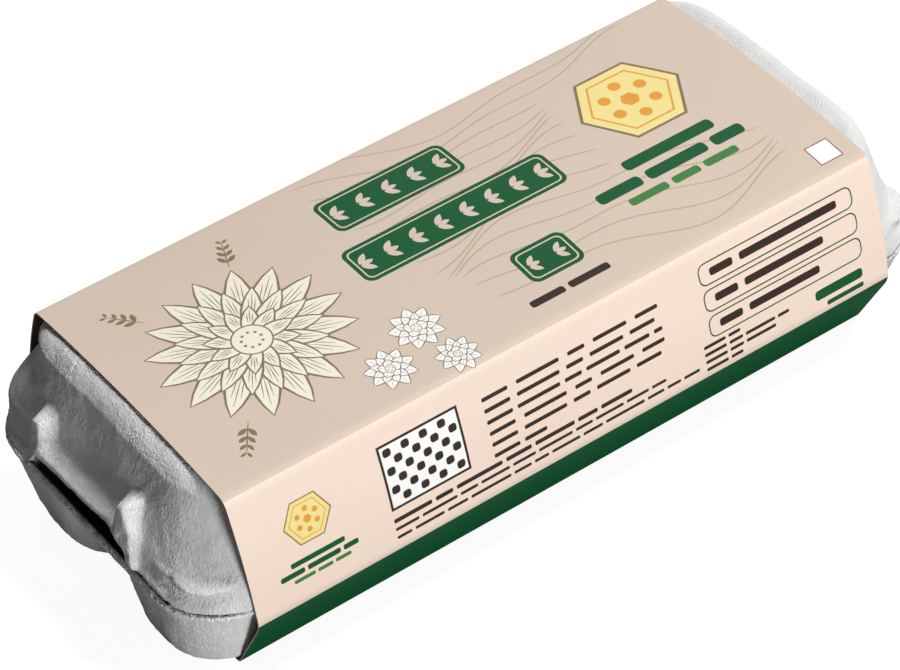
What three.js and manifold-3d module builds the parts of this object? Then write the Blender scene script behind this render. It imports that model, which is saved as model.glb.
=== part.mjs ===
// A shut carton for ten eggs: a moulded pulp tray and lid, held shut by a printed card wrap.
// Millimetres, +Z up. X runs along the pack, and the origin is on the ground under its middle.
import * as THREE from 'three';
import { mergeVertices } from 'three/addons/utils/BufferGeometryUtils.js';
import Module from 'manifold-3d';

const wasm = await Module();
wasm.setup();

// Card wrap: a tube that is open at both ends
const wrapLength = 227;
const cardThickness = 0.5;
const bottomHalf = 46.7; // half the flat panel that the pack stands on
const waistHalf = 60.6; // widest fold
const waistHeight = 25.7;
const shoulderHalf = 48.8; // fold between the top panel and a side panel
const shoulderHeight = 66.1;
const crownRise = 2.4; // the top panel arches over the lid
const panelBulge = 0.9; // the upper side panels bow out
const foldTrim = { bottom: 2, waist: 4, front: 6, back: 3 }; // where a rounded fold starts, from its corner
const wrapShift = -1.1; // the wrap sits nearer the left end

// Carton
const clearance = 0.35; // between the pulp and the card
const pulpInset = cardThickness + clearance;
const seamGap = 0.3; // between the lid and the tray
const rimHalfLength = 133.7;
const rimCorner = 22.5; // corner radius of the rim, seen from above
const trayTop = 31;
const lidBottom = trayTop + seamGap;
const rimThickness = 2.4;

// Cups of the tray, in two rows of five
const cupColumns = 5;
const cupPitch = 53.2;
const cupFloor = pulpInset;
const cupTop = trayTop - rimThickness / 2;
const cupFloorRadius = 20.9;
const cupMouthHalf = 25.4;
const cupFloorOffset = 26; // from the middle of the carton to the middle of a row
const cupMouthOffset = 29.8;

// Lid ends: an arched opening over the tray's rim, with a lip along its top and an ear at each side
const archMiddle = 4.5; // towards the back of the carton
const archHeight = 40;
const archTopHalf = 20;
const archFootHalf = 27.5;
const archDepth = 18;
const lipFlare = 2.6;
const lipHeight = 5;
const lipTaper = 3; // how soon the lip dies out past each side of the arch
const earFlare = 4.4;
const earTopHeight = 52.5;
const earFade = 6; // height over which an ear rises and dies out
const earInner = 3; // width of the ear's steep side, towards the arch
const earOuter = { front: 8, back: 6 }; // width of its gentle side
const lidLean = 1.5; // the lid sits askew: its top stands this much nearer the right end

const roundSteps = 8; // straight steps in a rounded corner
const sideSteps = 6; // steps along a straight side

const smooth = (from, to, value) => THREE.MathUtils.smoothstep(value, from, to);

// A value read from a list of [key, value] pairs, straight between them
function readTable(table, key) {
  const upper = table.findIndex((entry) => entry[0] >= key);
  if (upper < 0) return table[table.length - 1][1];
  if (upper === 0) return table[0][1];
  const [k0, v0] = table[upper - 1];
  const [k1, v1] = table[upper];
  return THREE.MathUtils.mapLinear(key, k0, k1, v0, v1);
}

// Half of the wrap's section, as a path of (y, z) from the middle of the bottom to the middle of the top
function halfSection(shoulderTrim) {
  const bottom = new THREE.Vector2(bottomHalf, 0);
  const waist = new THREE.Vector2(waistHalf, waistHeight);
  const shoulder = new THREE.Vector2(shoulderHalf, shoulderHeight);
  const towards = (a, b, distance) => b.clone().sub(a).setLength(distance).add(a);
  const path = new THREE.Path();
  const curveThrough = (corner, exit) => path.quadraticCurveTo(corner.x, corner.y, exit.x, exit.y);
  path.moveTo(0, 0);
  path.lineTo(bottomHalf - foldTrim.bottom, 0);
  curveThrough(bottom, towards(bottom, waist, foldTrim.bottom));
  path.lineTo(...towards(waist, bottom, foldTrim.waist).toArray());
  const above = towards(waist, shoulder, foldTrim.waist);
  curveThrough(waist, above);
  const below = towards(shoulder, waist, shoulderTrim);
  curveThrough(above.clone().lerp(below, 0.5).add(new THREE.Vector2(2 * panelBulge, 0)), below);
  const topStart = new THREE.Vector2(shoulderHalf - shoulderTrim, 0);
  topStart.y = shoulderHeight + crownRise * (1 - (topStart.x / shoulderHalf) ** 2);
  const crownTop = new THREE.Vector2(0, shoulderHeight + crownRise);
  curveThrough(shoulder, topStart);
  curveThrough(new THREE.Vector2(topStart.x / 2, crownTop.y), crownTop);
  return path.getPoints(roundSteps).filter((p, i, all) => i === 0 || p.distanceTo(all[i - 1]) > 0.01);
}

// The whole section, drawn in by an inset, as closed (y, z) points that run anticlockwise
function wrapSection(inset) {
  const back = halfSection(foldTrim.back);
  const front = halfSection(foldTrim.front).slice(1, -1).reverse().map((p) => new THREE.Vector2(-p.x, p.y));
  const ring = [...back, ...front];
  return ring.map((p, i) => {
    const before = ring[(i + ring.length - 1) % ring.length];
    const after = ring[(i + 1) % ring.length];
    const along = after.clone().sub(before).normalize();
    return new THREE.Vector2(p.x - along.y * inset, p.y + along.x * inset);
  });
}

// Room for the pulp inside the wrap's rounder front half: the width at a height, and the height at a width
const pulpSection = wrapSection(pulpInset).filter((p) => p.x <= 0 && p.y > pulpInset);
const widthTable = pulpSection.map((p) => [p.y, -p.x]).reverse();
const roofTable = pulpSection.filter((p) => p.y > shoulderHeight - foldTrim.front).map((p) => [-p.x, p.y]);
const roomAt = (height) => readTable(widthTable, height);
const roofAt = (y) => readTable(roofTable, Math.abs(y));

// The two places that cut a stretch in three
const between = (from, to) => [1, 2].map((third) => THREE.MathUtils.lerp(from, to, third / 3));

// A rounded rectangle seen from above, anticlockwise from the front of the right end. The columns are
// the places across an end where it has a point between its corners.
function outline(halfLength, halfWidth, frontRadius, backRadius, columns, stepsAlong) {
  const points = [];
  const side = (fromX, toX, y) => {
    for (let i = 0; i < stepsAlong; i += 1) {
      points.push([THREE.MathUtils.lerp(fromX, toX, i / stepsAlong), y]);
    }
  };
  const corner = (endSign, sideSign, radius, start) => {
    for (let i = 0; i < roundSteps; i += 1) {
      const angle = start + (i / roundSteps) * (Math.PI / 2);
      points.push([
        endSign * (halfLength - radius) + radius * Math.cos(angle),
        sideSign * (halfWidth - radius) + radius * Math.sin(angle),
      ]);
    }
  };
  const front = frontRadius - halfWidth;
  const back = halfWidth - backRadius;
  const across = [...between(front, columns[0]), ...columns, ...between(columns.at(-1), back)];
  points.push(...[front, ...across].map((y) => [halfLength, y]));
  corner(1, 1, backRadius, 0);
  side(halfLength - backRadius, backRadius - halfLength, halfWidth);
  corner(-1, 1, backRadius, Math.PI / 2);
  points.push(...[back, ...across.toReversed()].map((y) => [-halfLength, y]));
  corner(-1, -1, frontRadius, Math.PI);
  side(frontRadius - halfLength, halfLength - frontRadius, -halfWidth);
  corner(1, -1, frontRadius, 1.5 * Math.PI);
  return points;
}

// A closed solid through rings of [x, y, z] points with equal counts, from the lowest ring up
function loft(rings) {
  const count = rings[0].length;
  const points = rings.flat();
  const middle = (ring) => [0, 1, 2].map((axis) => ring.reduce((sum, p) => sum + p[axis], 0) / count);
  const low = points.push(middle(rings[0])) - 1;
  const high = points.push(middle(rings[rings.length - 1])) - 1;
  const index = [];
  for (let i = 0; i < count; i += 1) {
    const next = (i + 1) % count;
    for (let r = 0; r + 1 < rings.length; r += 1) {
      const a = r * count + i;
      const b = r * count + next;
      index.push(a, b, b + count, a, b + count, a + count);
    }
    const last = (rings.length - 1) * count;
    index.push(low, next, i, high, last + i, last + next);
  }
  const geometry = new THREE.BufferGeometry();
  geometry.setAttribute('position', new THREE.Float32BufferAttribute(points.flat(), 3));
  geometry.setIndex(index);
  return geometry;
}

function toSolid(geometry) {
  const bare = geometry.clone();
  bare.deleteAttribute('normal');
  bare.deleteAttribute('uv');
  const merged = mergeVertices(bare, 1e-4);
  return new wasm.Manifold(new wasm.Mesh({
    numProp: 3,
    vertProperties: new Float32Array(merged.attributes.position.array),
    triVerts: new Uint32Array(merged.index.array),
  }));
}

function toGeometry(solid) {
  const mesh = solid.getMesh();
  const geometry = new THREE.BufferGeometry();
  geometry.setAttribute('position', new THREE.BufferAttribute(new Float32Array(mesh.vertProperties), 3));
  geometry.setIndex(new THREE.BufferAttribute(new Uint32Array(mesh.triVerts), 1));
  geometry.computeVertexNormals();
  return geometry;
}

const joined = (geometries) => geometries.map(toSolid).reduce((sum, solid) => sum.add(solid));

// The wrap's tube, extruded along X
function wrapGeometry() {
  const shape = new THREE.Shape(wrapSection(0));
  shape.holes.push(new THREE.Path(wrapSection(cardThickness)));
  const geometry = new THREE.ExtrudeGeometry(shape, { depth: wrapLength, bevelEnabled: false });
  geometry.rotateX(Math.PI / 2);
  geometry.rotateZ(Math.PI / 2);
  geometry.translate(wrapShift - wrapLength / 2, 0, 0);
  return geometry;
}

// One cup: a rounded square at its mouth that narrows to a round floor with a rounded edge
function cupGeometry(x, side) {
  const profile = [ // share of the depth, and how far the edge of the floor is drawn in
    [0, 2.4], [0.03, 1.1], [0.08, 0.5], [0.16, 0.4], [0.5, 0.9], [0.8, 0.4], [1, 0],
  ];
  return loft(profile.map(([share, drawnIn]) => {
    const half = THREE.MathUtils.lerp(cupFloorRadius, cupMouthHalf, share) - drawnIn;
    const radius = half * THREE.MathUtils.lerp(0.9, 0.86, share);
    const y = side * THREE.MathUtils.lerp(cupFloorOffset, cupMouthOffset, share);
    const z = THREE.MathUtils.lerp(cupFloor, cupTop, share);
    return outline(half, half, radius, radius, [0], 1).map(([px, py]) => [x + px, y + py, z]);
  }));
}

// The rim plate, the body that ties the cups together, and the cups
function trayGeometry() {
  const rimHalf = roomAt(trayTop);
  const plate = [ // height, and how far the rim's edge is drawn in
    [trayTop - rimThickness, 1.6], [trayTop - rimThickness * 0.6, 0.2], [trayTop - 0.5, 0], [trayTop, 0.5],
  ];
  const rim = loft(plate.map(([z, drawnIn]) =>
    outline(rimHalfLength - drawnIn, rimHalf - drawnIn, rimCorner, rimCorner, [0], sideSteps)
      .map(([x, y]) => [x, y, z])));
  const body = [ // height, half length, half width
    [2.4, 104, 30], [17, 107, 40], [24.5, 114, 49], [trayTop - rimThickness + 0.4, 127, 54],
  ];
  const web = loft(body.map(([z, halfLength, halfWidth]) =>
    outline(halfLength, halfWidth, rimCorner, rimCorner, [0], sideSteps).map(([x, y]) => [x, y, z])));
  const cups = [];
  for (let column = 0; column < cupColumns; column += 1) {
    const x = (column - (cupColumns - 1) / 2) * cupPitch;
    cups.push(cupGeometry(x, -1), cupGeometry(x, 1));
  }
  return toGeometry(joined([rim, web, ...cups]));
}

// How far the lid's end stands out from its plain slope, at a place across it and a height
function endRelief(y, z) {
  const across = Math.abs(y - archMiddle);
  const aboveArch = Math.max(0, z - archHeight);
  const lipEnds = 1 - smooth(archTopHalf - 1, archTopHalf + lipTaper, across);
  const lip = lipFlare * Math.max(0, 1 - aboveArch / lipHeight) ** 2 * lipEnds;
  const ridge = THREE.MathUtils.mapLinear(z, lidBottom, earTopHeight, archFootHalf, archTopHalf - 0.5);
  const inward = 1 - smooth(0, earInner, ridge - across);
  const outward = 1 - smooth(0, y < archMiddle ? earOuter.front : earOuter.back, across - ridge);
  const below = smooth(lidBottom, lidBottom + earFade, z);
  const above = 1 - smooth(earTopHeight - earFade, earTopHeight, z);
  const rise = below * above;
  return Math.max(lip, earFlare * rise * inward * outward);
}

// Places across an end of the lid: further apart along the lip, close together at the ears
function lidColumns() {
  const offsets = [4, 9, 13.5];
  for (let offset = archTopHalf - 3; offset < archFootHalf; offset += 1.4) offsets.push(offset);
  return [...offsets.toReversed().map((offset) => -offset), ...offsets].map((offset) => archMiddle + offset);
}

// The lid: a skirt, a ledge, sloping walls, a rounded shoulder and a top that arches with the wrap
function lidGeometry() {
  const columns = lidColumns();
  const walls = [ // height, half length, corner radius at the front and at the back
    [lidBottom, rimHalfLength, rimCorner, rimCorner],
    [lidBottom + 1.2, rimHalfLength - 0.2, rimCorner, rimCorner],
    [34, 132.4, 23, 21.5], [36, 131.5, 23.5, 21], [38, 130.6, 24, 20.5], [40, 129.6, 24.5, 20],
    [40.9, 129.2, 25, 20], [41.7, 128.8, 30, 23], [43, 128.1, 31, 22.5], [45, 127.3, 31, 22],
    [47, 126.6, 31, 21], [49, 125.9, 31, 20], [51, 125.2, 30.5, 19], [53, 124.5, 30, 18],
    [56.5, 123.2, 28.5, 17], [60, 122.1, 26.5, 16.5], [62, 121.3, 25, 16],
    [63.8, 119.9, 23.5, 15.5], [65, 118.1, 22, 15], [65.6, 116, 21, 14.5],
  ];
  const flatRoof = roofAt(shoulderHalf - foldTrim.front);
  const rings = walls.map(([z, halfLength, front, back]) => {
    const halfWidth = roomAt(z);
    return outline(halfLength, halfWidth, front, back, columns, sideSteps).map(([x, y]) => {
      const inCorner = smooth(0, 8, Math.max(y - (halfWidth - back), front - halfWidth - y));
      const out = Math.abs(x) > halfLength - front / 2 ? endRelief(y, z) * (1 - inCorner) : 0;
      const lean = lidLean * smooth(lidBottom, 60, z);
      const crown = Math.max(0, roofAt(y) - flatRoof) * smooth(53, 65.6, z);
      return [x + Math.sign(x) * out + lean, y, z + crown];
    });
  });
  const top = [[104, 30], [80, 12]].map(([halfLength, halfWidth]) =>
    outline(halfLength, halfWidth, 8, 8, columns, sideSteps).map(([x, y]) => [x + lidLean, y, roofAt(y)]));
  const whole = toSolid(loft([...rings, ...top]));
  return toGeometry(archCuts().reduce((solid, cut) => solid.subtract(cut), whole));
}

// The hollows behind the arched openings, one at each end
function archCuts() {
  const foot = archFootHalf;
  const below = lidBottom - 1;
  const shape = new THREE.Shape();
  shape.moveTo(-foot, below);
  shape.lineTo(foot, below);
  shape.quadraticCurveTo(archTopHalf + 1, archHeight, archTopHalf - 5, archHeight);
  shape.lineTo(5 - archTopHalf, archHeight);
  shape.quadraticCurveTo(-archTopHalf - 1, archHeight, -foot, below);
  const past = 5; // the cut also reaches this far out of the end
  const options = { depth: archDepth + past, bevelEnabled: false, curveSegments: 5 };
  return [-1, 1].map((end) => {
    const cut = new THREE.ExtrudeGeometry(shape, options);
    cut.rotateX(Math.PI / 2);
    cut.rotateZ(Math.PI / 2);
    const from = end > 0 ? rimHalfLength - archDepth : -rimHalfLength - past;
    cut.translate(from, archMiddle, 0);
    return toSolid(cut);
  });
}

const pulp = new THREE.MeshStandardMaterial({ color: 0xb4b3b1, roughness: 0.95, metalness: 0 });
const card = new THREE.MeshStandardMaterial({ color: 0xd8c7b4, roughness: 0.7, metalness: 0 });

const carton = new THREE.Group();
for (const [name, geometry, material] of [
  ['card_wrap', wrapGeometry(), card],
  ['carton_tray', trayGeometry(), pulp],
  ['carton_lid', lidGeometry(), pulp],
]) {
  const mesh = new THREE.Mesh(geometry, material);
  mesh.name = name;
  carton.add(mesh);
}

export default carton;
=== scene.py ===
# Egg carton: a moulded pulp tray and lid held shut by a printed card wrap.
# Lengths in the dictionaries are millimetres in the part's frame; meshes are made in metres.
import math
import time

import bpy
import numpy as np
from mathutils import Matrix, Vector, geometry, noise


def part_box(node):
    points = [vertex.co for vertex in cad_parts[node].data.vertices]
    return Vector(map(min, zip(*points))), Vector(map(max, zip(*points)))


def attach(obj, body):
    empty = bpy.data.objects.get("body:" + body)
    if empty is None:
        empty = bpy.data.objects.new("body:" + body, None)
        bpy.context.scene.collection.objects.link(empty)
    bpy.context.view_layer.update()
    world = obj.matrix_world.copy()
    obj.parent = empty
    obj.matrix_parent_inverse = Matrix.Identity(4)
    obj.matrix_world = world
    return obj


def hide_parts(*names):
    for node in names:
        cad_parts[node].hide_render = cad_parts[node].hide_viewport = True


started = time.time()
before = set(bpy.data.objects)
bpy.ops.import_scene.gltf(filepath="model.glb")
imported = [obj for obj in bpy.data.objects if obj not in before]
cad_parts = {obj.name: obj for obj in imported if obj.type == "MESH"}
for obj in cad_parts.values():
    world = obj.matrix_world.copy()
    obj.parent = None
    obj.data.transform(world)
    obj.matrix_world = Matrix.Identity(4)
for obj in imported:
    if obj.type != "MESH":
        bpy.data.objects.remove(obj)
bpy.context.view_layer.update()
mm = 0.001

wrapLow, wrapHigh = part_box("card_wrap")
wrapMiddle = (wrapLow.x + wrapHigh.x) / 2 / mm
wrapHalf = (wrapHigh.x - wrapLow.x) / 2 / mm
rimHalf = -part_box("carton_tray")[0].x / mm
print("frame loaded, wrap middle", round(wrapMiddle, 2), "rim half length", round(rimHalf, 2))


# Camera and studio

cameraValues = {
    "azimuth": -33.8736, "elevation": 43.1396, "roll": -3.4352,  # degrees
    "distance": 1111.373, "lookAt": (-9.978, -6.366, 35.0),
    "lens": 152.24, "sensor": 36.0,
}


def addCamera(values):
    azimuth, elevation, roll = (math.radians(values[k]) for k in ("azimuth", "elevation", "roll"))
    back = Vector((math.sin(azimuth) * math.cos(elevation), -math.cos(azimuth) * math.cos(elevation),
                   math.sin(elevation)))
    level = Vector((math.cos(azimuth), math.sin(azimuth), 0))
    upright = back.cross(level)
    right = level * math.cos(roll) + upright * math.sin(roll)
    up = upright * math.cos(roll) - level * math.sin(roll)
    data = bpy.data.cameras.new("photoCamera")
    data.lens = values["lens"]
    data.sensor_width = values["sensor"]
    data.clip_start = 0.01
    camera = bpy.data.objects.new("photoCamera", data)
    camera.matrix_world = Matrix((right, up, back)).transposed().to_4x4()
    camera.location = (Vector(values["lookAt"]) + back * values["distance"]) * mm
    bpy.context.scene.collection.objects.link(camera)
    bpy.context.scene.camera = camera


studioValues = {
    "world": 0.048,
    # name, direction that the light comes from, distance, size, watts
    "lights": [
        ("topLight", (0.435, -0.12, 1.0), 4.5, 1.3, 170.0),
        ("frontLight", (-0.05, -1.0, 0.09), 4.5, 1.6, 149.0),
        ("rightLight", (1.0, 0.3, 0.35), 4.5, 1.6, 34.0),
        ("backLight", (1.0, 1.0, 0.30), 4.5, 1.6, 66.0),
    ],
    "floorGlow": 0.93, "floorBounce": 0.2, "floorSize": 6.0, "floorRoughness": 0.9, "floorShine": 0.1,
}


def addLights(values):
    scene = bpy.context.scene
    scene.view_settings.view_transform = "Standard"
    world = bpy.data.worlds.new("studioWorld")
    world.use_nodes = True
    background = world.node_tree.nodes["Background"]
    background.inputs["Color"].default_value = (1, 1, 1, 1)
    background.inputs["Strength"].default_value = values["world"]
    scene.world = world
    for name, direction, distance, size, watts in values["lights"]:
        data = bpy.data.lights.new(name, "AREA")
        data.shape = "DISK"
        data.size = size
        data.energy = watts
        light = bpy.data.objects.new(name, data)
        towards = Vector(direction).normalized()
        light.location = towards * distance
        light.rotation_euler = towards.to_track_quat("Z", "Y").to_euler()
        scene.collection.objects.link(light)


# The floor glows white for the camera alone, so that it doesn't light the pack from below
def addFloor(values):
    half = values["floorSize"]
    corners = [(-half, -half, 0), (half, -half, 0), (half, half, 0), (-half, half, 0)]
    data = bpy.data.meshes.new("studioFloor")
    data.from_pydata(corners, [], [(0, 1, 2, 3)])
    floor = bpy.data.objects.new("studioFloor", data)
    bpy.context.scene.collection.objects.link(floor)
    material = bpy.data.materials.new("studioFloor")
    material.use_nodes = True
    nodes, links = material.node_tree.nodes, material.node_tree.links
    shader = nodes["Principled BSDF"]
    shader.inputs["Roughness"].default_value = values["floorRoughness"]
    shader.inputs["Specular IOR Level"].default_value = values["floorShine"]
    shader.inputs["Base Color"].default_value = (values["floorBounce"],) * 3 + (1,)
    rays = nodes.new("ShaderNodeLightPath")
    glow = nodes.new("ShaderNodeMath")
    glow.operation = "MULTIPLY"
    glow.inputs[1].default_value = values["floorGlow"]
    links.new(rays.outputs["Is Camera Ray"], glow.inputs[0])
    links.new(glow.outputs[0], shader.inputs["Emission Strength"])
    shader.inputs["Emission Color"].default_value = (1, 1, 1, 1)
    data.materials.append(material)


addCamera(cameraValues)
addLights(studioValues)
addFloor(studioValues)
print("camera and studio ready")


# Small helpers

def smooth(low, high, value):
    t = np.clip((np.asarray(value, float) - low) / (high - low), 0, 1)
    return t * t * (3 - 2 * t)


def makeObject(name, points, faces, materials, faceMaterial=None, smoothFaces=True):
    data = bpy.data.meshes.new(name)
    data.from_pydata([tuple(p) for p in np.asarray(points) * mm], [], faces)
    for material in materials:
        data.materials.append(material)
    if faceMaterial is not None:
        data.polygons.foreach_set("material_index", np.asarray(faceMaterial, np.int32))
    data.polygons.foreach_set("use_smooth", np.full(len(data.polygons), smoothFaces))
    data.update()
    piece = bpy.data.objects.new(name, data)
    bpy.context.scene.collection.objects.link(piece)
    return piece


def bumps(points, size, seed, octaves=3):
    shift = Vector((seed * 13.7, seed * 5.1, seed * 9.3))
    return np.array([noise.fractal(Vector(p) / size + shift, 0.6, 2.0, octaves) for p in points])


# The wrap's section: (y, z) points, anticlockwise from the middle of the bottom, back half first

wrapValues = {
    "thickness": 0.5, "bottomHalf": 46.7, "waistHalf": 60.6, "waistHeight": 25.7,
    "shoulderHalf": 48.8, "shoulderHeight": 66.1, "crownRise": 2.4, "bulge": 0.9,
    "trims": {"bottom": 2.0, "waist": 3.9, "front": 3.0, "back": 3.0},  # where a fold's curve starts
    "curveSteps": 10, "crownSteps": 16, "bulgeSteps": 10,
    "seamGap": 0.3, "waviness": 0.16, "gridAlong": 6.0,
    "sideRoom": 0.9, "roofRoom": 0.95,  # from the wrap's outside to the lid
}


def quadratic(start, corner, end, steps):
    t = np.linspace(0, 1, steps + 1)[1:, None]
    return list((1 - t) ** 2 * start + 2 * t * (1 - t) * corner + t ** 2 * end)


def halfSection(values, shoulderTrim):
    bottom = np.array([values["bottomHalf"], 0.0])
    waist = np.array([values["waistHalf"], values["waistHeight"]])
    shoulder = np.array([values["shoulderHalf"], values["shoulderHeight"]])
    trims, steps = values["trims"], values["curveSteps"]
    towards = lambda a, b, distance: a + (b - a) / np.linalg.norm(b - a) * distance
    rise = lambda y: values["shoulderHeight"] + values["crownRise"] * (1 - (y / values["shoulderHalf"]) ** 2)
    points = [np.array([y, 0.0]) for y in np.linspace(0, values["bottomHalf"] - trims["bottom"], 6)]
    points += quadratic(points[-1], bottom, towards(bottom, waist, trims["bottom"]), steps)
    low = towards(waist, bottom, trims["waist"])
    points += [points[-1] + (low - points[-1]) * t for t in np.linspace(0, 1, 5)[1:]]
    above = towards(waist, shoulder, trims["waist"])
    points += quadratic(low, waist, above, steps)
    below = towards(shoulder, waist, shoulderTrim)
    middle = (above + below) / 2 + np.array([2 * values["bulge"], 0])
    points += quadratic(above, middle, below, values["bulgeSteps"])
    startY = values["shoulderHalf"] - shoulderTrim
    start = np.array([startY, rise(startY)])
    points += quadratic(below, shoulder, start, steps)
    points += [np.array([y, rise(y)]) for y in np.linspace(startY, 0, values["crownSteps"] + 1)[1:]]
    return points


def wholeSection(values):
    back = halfSection(values, values["trims"]["back"])
    front = halfSection(values, values["trims"]["front"])
    points = np.array(back + [p * (-1, 1) for p in front[-2::-1]])
    tangent = np.gradient(points, axis=0)
    tangent /= np.linalg.norm(tangent, axis=1)[:, None]
    normal = np.stack([tangent[:, 1], -tangent[:, 0]], 1)
    around = np.concatenate([[0], np.cumsum(np.linalg.norm(np.diff(points, axis=0), axis=1))])
    return points, normal, around


section, sectionNormal, sectionAround = wholeSection(wrapValues)
frontShoulder = int(np.argmin(np.hypot(section[:, 0] + wrapValues["shoulderHalf"],
                                       section[:, 1] - wrapValues["shoulderHeight"])))
printZero = sectionAround[frontShoulder]  # print is laid out from the front shoulder fold


# Half the room inside the wrap at a height, for the lid and the tray
def roomHalf(z):
    upper = (section[:, 0] < 0) & (section[:, 1] > 1)
    inner = (section - sectionNormal * wrapValues["sideRoom"])[upper]
    order = np.argsort(inner[:, 1])
    return np.interp(z, inner[order, 1], -inner[order, 0])


# How high the wrap's top panel lets the lid reach
def roofHeight(y):
    upper = section[:, 1] > wrapValues["shoulderHeight"] - 6
    inner = (section - sectionNormal * wrapValues["roofRoom"])[upper]
    order = np.argsort(inner[:, 0])
    return np.interp(y, inner[order, 0], inner[order, 1])


# Shader groups: effects that more than one material uses

def newGroup(name, inputs, outputs):
    group = bpy.data.node_groups.new(name, "ShaderNodeTree")
    for label, kind, value in inputs:
        socket = group.interface.new_socket(name=label, in_out="INPUT", socket_type=kind)
        socket.default_value = value
    for label, kind in outputs:
        group.interface.new_socket(name=label, in_out="OUTPUT", socket_type=kind)
    return group, group.nodes.new("NodeGroupInput"), group.nodes.new("NodeGroupOutput")


def addMath(tree, operation, first, second=None, clamp=False):
    node = tree.nodes.new("ShaderNodeMath")
    node.operation = operation
    node.use_clamp = clamp
    for socket, value in zip(node.inputs, (first, second)):
        if value is None:
            continue
        if isinstance(value, (int, float)):
            socket.default_value = value
        else:
            tree.links.new(value, socket)
    return node.outputs[0]


def addNoise(tree, vector, scale, detail, roughness=0.55):
    node = tree.nodes.new("ShaderNodeTexNoise")
    node.inputs["Scale"].default_value = scale
    node.inputs["Detail"].default_value = detail
    node.inputs["Roughness"].default_value = roughness
    tree.links.new(vector, node.inputs["Vector"])
    return node.outputs["Fac"]


def addStretch(tree, vector, scale, turn=(0, 0, 0)):
    node = tree.nodes.new("ShaderNodeMapping")
    node.inputs["Scale"].default_value = scale
    node.inputs["Rotation"].default_value = turn
    tree.links.new(vector, node.inputs["Vector"])
    return node.outputs["Vector"]


def addMix(tree, factor, first, second, blend="MIX"):
    node = tree.nodes.new("ShaderNodeMix")
    node.data_type = "RGBA"
    node.blend_type = blend
    for name, value in (("Factor", factor), ("A", first), ("B", second)):
        socket = [s for s in node.inputs if s.name == name and s.enabled][0]
        if isinstance(value, (int, float, tuple)):
            socket.default_value = value
        else:
            tree.links.new(value, socket)
    return [s for s in node.outputs if s.enabled][0]


def addRange(tree, value, low, high, toLow=0.0, toHigh=1.0):
    node = tree.nodes.new("ShaderNodeMapRange")
    for label, number in (("From Min", low), ("From Max", high), ("To Min", toLow), ("To Max", toHigh)):
        node.inputs[label].default_value = number
    tree.links.new(value, node.inputs["Value"])
    return node.outputs[0]


# A noise brought to run from about -0.5 to 0.5
def centred(tree, value):
    return addRange(tree, value, 0.3, 0.7, -0.5, 0.5)


def weighted(tree, parts):
    total = addMath(tree, "MULTIPLY", *parts[0])
    for value, share in parts[1:]:
        total = addMath(tree, "ADD", total, addMath(tree, "MULTIPLY", value, share))
    return total


def greyOf(tree, value):
    grey = tree.nodes.new("ShaderNodeCombineColor")
    for socket in grey.inputs:
        tree.links.new(value, socket)
    return grey.outputs[0]


# Screen colour, 0 to 255, to linear colour
def linear(*screen):
    shares = [c / 255 for c in screen]
    return tuple(c / 12.92 if c <= 0.04 else ((c + 0.055) / 1.055) ** 2.4 for c in shares) + (1,)


pulpValues = {
    # The near and far tones are painted light and shade: paler pulp at the shaded near end, darker at the lit
    # far end. The third tone is painted shade, near black, for the hollow behind the arches.
    "nearTone": linear(243, 243, 243), "farTone": linear(214, 214, 213), "hollowShadeTone": linear(30, 30, 30),
    "mottle": 1.0, "farMottle": 0.35, "fleck": 0.5, "roughness": 0.92, "shine": 0.2,
    "cloudScale": 45, "calmScale": 60, "grainScale": 1900, "lumpScale": 520, "streakScale": 1300,
    "fleckScale": 420,
    "cloudShade": 0.14, "grainShade": 0.13, "fleckShade": 0.3,
    "streakHeight": 0.45, "grainHeight": 0.55, "lumpHeight": 0.35,
    "bumpStrength": 0.9, "bumpDistance": 0.00068,
}


# Clouded grey with fine streaks, specks and a surface that is calm in patches
def pulpFibreGroup(values):
    group, given, result = newGroup(
        "pulpFibre",
        [("Tone", "NodeSocketColor", (0.6, 0.6, 0.6, 1)), ("Mottle", "NodeSocketFloat", 0.5),
         ("Fleck", "NodeSocketFloat", 0.5)],
        [("Color", "NodeSocketColor"), ("Height", "NodeSocketFloat")])
    place = group.nodes.new("ShaderNodeTexCoord").outputs["Object"]
    cloud = addNoise(group, place, values["cloudScale"], 3)
    calm = addRange(group, addNoise(group, place, values["calmScale"], 2), 0.38, 0.62, 0.35, 1.0)
    grain = addNoise(group, place, values["grainScale"], 1, 0.5)
    lumps = addNoise(group, place, values["lumpScale"], 2, 0.5)
    drawn = addStretch(group, place, (1, 1, 0.3), (0.1, 0.05, 0))
    streaks = addNoise(group, drawn, values["streakScale"], 1, 0.5)
    flecks = group.nodes.new("ShaderNodeTexVoronoi")
    flecks.inputs["Scale"].default_value = values["fleckScale"]
    group.links.new(place, flecks.inputs["Vector"])
    speck = addRange(group, flecks.outputs["Distance"], 0.06, 0.16, 1, 0)
    rough = addMath(group, "ADD", centred(group, streaks), centred(group, grain))
    shade = weighted(group, ((centred(group, cloud), values["cloudShade"]), (rough, values["grainShade"])))
    shade = addMath(group, "ADD", addMath(group, "MULTIPLY", shade, given.outputs["Mottle"]), 1.0)
    flecked = addMath(group, "MULTIPLY", speck, given.outputs["Fleck"])
    shade = addMath(group, "SUBTRACT", shade, addMath(group, "MULTIPLY", flecked, values["fleckShade"]))
    color = addMix(group, 1.0, given.outputs["Tone"], greyOf(group, shade), "MULTIPLY")
    height = weighted(group, ((streaks, values["streakHeight"]), (grain, values["grainHeight"]),
                              (lumps, values["lumpHeight"])))
    group.links.new(color, result.inputs["Color"])
    group.links.new(addMath(group, "MULTIPLY", height, calm), result.inputs["Height"])
    return group


cardValues = {
    "cloudScale": 14, "toothScale": 2600, "fibreScale": 1300, "cloudShade": 0.03, "toothShade": 0.02,
    "fibreTone": (0.82, 0.77, 0.70, 1), "smoothest": 0.52, "roughest": 0.62, "shine": 0.12,
    "bareDepth": 3.0, "bumpStrength": 0.35, "bumpDistance": 0.00012,
}


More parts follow.
